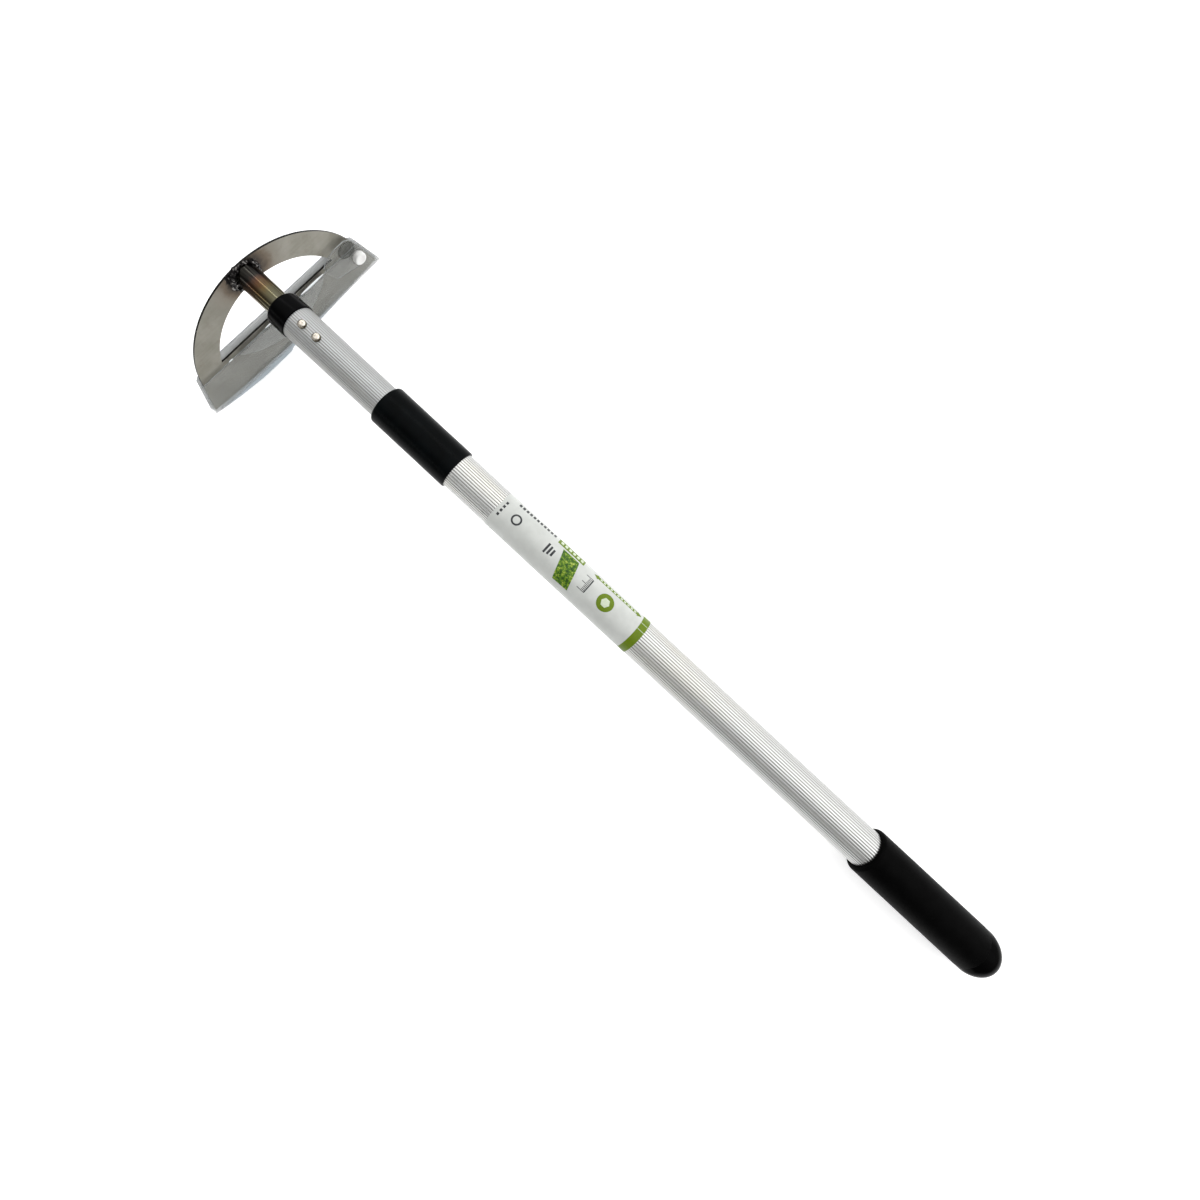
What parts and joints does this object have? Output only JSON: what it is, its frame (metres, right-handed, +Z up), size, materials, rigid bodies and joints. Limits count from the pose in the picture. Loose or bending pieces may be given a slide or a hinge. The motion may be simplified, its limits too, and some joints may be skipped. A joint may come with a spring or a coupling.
{
  "type": "hoe",
  "caption": "Stand-up hoe with a flat half-moon blade welded to a telescopic twist-lock ribbed handle, with a clear press-stud cover over the cutting edge.",
  "frame": {"origin": "centre of the footprint on the ground, as the hoe lies on its covered edge and the end of its grip", "axes": "+X from the blade towards the grip, level with the ground; +Y across the blade; +Z up from the ground"},
  "size_m": [0.7002, 0.1866, 0.1033],
  "materials": {
    "blade_steel": "brushed, lightly stained by heat",
    "weld_metal": "rough fused bead",
    "pipe_steel": "olive grey with straw and brown heat tint",
    "collar_plastic": "moulded, satin black",
    "rivet_steel": "drawn, bright",
    "mandrel_steel": "broken end, dull",
    "tube_aluminium": "extruded, anodised",
    "lock_plastic": "moulded, natural white",
    "lock_steel": "zinc plated",
    "lock_brass": "turned",
    "sleeve_plastic": "satin black",
    "label_film": "printed film, satin",
    "grip_rubber": "matte black",
    "cap_rubber": "smoother black",
    "clear_sheet": "clear flexible sheet",
    "snap_plastic": "moulded white"
  },
  "bodies": {
    "handle": {"outer_tube": "tube_aluminium", "mouth_bush": "collar_plastic", "mid_sleeve": "sleeve_plastic", "label": "label_film", "end_grip": "grip_rubber", "end_cap": "cap_rubber"},
    "lock": {"lock_sleeve": "lock_plastic", "lock_cone": "lock_brass"},
    "shaft": {"inner_tube": "tube_aluminium", "lock_plug": "lock_plastic", "lock_screw": "lock_steel", "lock_end_nut": "lock_steel", "head_collar": "collar_plastic", "tang_pipe": "pipe_steel", "weld_bead": "weld_metal", "blade": "blade_steel", "rivet_front": "rivet_steel", "rivet_rear": "rivet_steel", "mandrel_front": "mandrel_steel", "mandrel_rear": "mandrel_steel"},
    "cover": {"blade_cover": "clear_sheet", "cover_tongue": "clear_sheet", "snap_stud": "snap_plastic"},
    "tab": {"cover_tab": "clear_sheet", "snap_socket": "snap_plastic", "snap_cap": "snap_plastic"}
  },
  "joints": [
    {"name": "tube_extension", "type": "slide", "parent": "handle", "child": "lock", "axis": [-0.9938, 0, 0.1115], "range_m": [-0.05, 0.33]},
    {"name": "tube_twist", "type": "hinge", "parent": "lock", "child": "shaft", "pos_m": [0.21946, 0, 0.02954], "axis": [0.9938, 0, -0.1115], "range_deg": [0, 120]},
    {"name": "cover_slide", "type": "slide", "parent": "shaft", "child": "cover", "axis": [0.0104, 0, -0.9999], "range_m": [0, 0.06]},
    {"name": "tab_hinge", "type": "hinge", "parent": "cover", "child": "tab", "pos_m": [-0.34294, 0.0495, 0.03614], "axis": [0.0101, 0.2425, -0.9701], "range_deg": [0, 140]}
  ]
}
